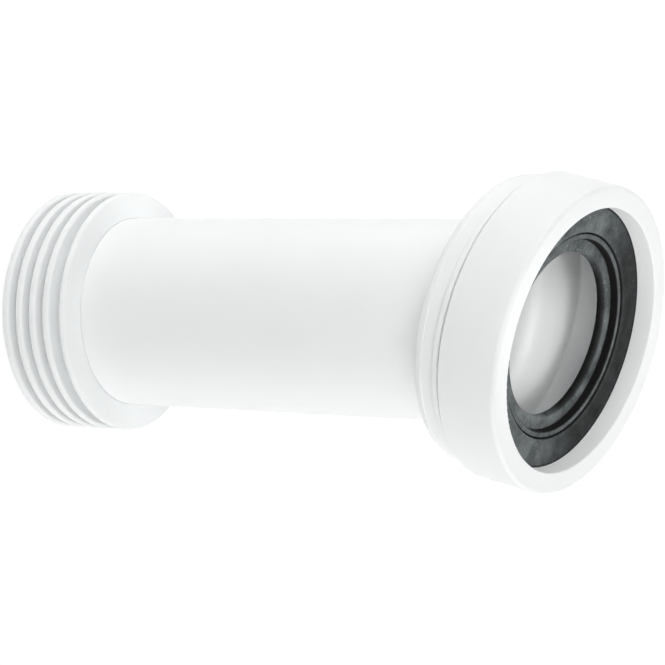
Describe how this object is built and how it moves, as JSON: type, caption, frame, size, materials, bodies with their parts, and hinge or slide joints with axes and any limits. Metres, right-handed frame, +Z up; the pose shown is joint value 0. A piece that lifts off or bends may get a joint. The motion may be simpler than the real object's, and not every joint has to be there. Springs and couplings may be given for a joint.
{
  "type": "toilet pan connector",
  "caption": "White plastic toilet pan connector: a straight waste pipe with a soft finned push-in seal at its outlet and an angled cup with a dark rubber seal at its inlet.",
  "frame": {"origin": "centre of the outlet end face, on the pipe axis", "axes": "+Z up the pipe axis from the outlet to the cup, +X the way the cup leans, the XZ plane is the plane of symmetry"},
  "size_m": [0.1393, 0.1378, 0.2946],
  "materials": {
    "body_plastic": "satin moulded polypropylene",
    "cap_plastic": "satin moulded polypropylene",
    "fin_elastomer": "soft white moulded elastomer, matte",
    "seal_rubber": "matte charcoal rubber with a light dusting"
  },
  "bodies": {
    "root": {"connector_body": "body_plastic", "outlet_fin_seal": "fin_elastomer", "inlet_seal": "seal_rubber", "seal_retaining_cap": "cap_plastic"}
  },
  "joints": []
}
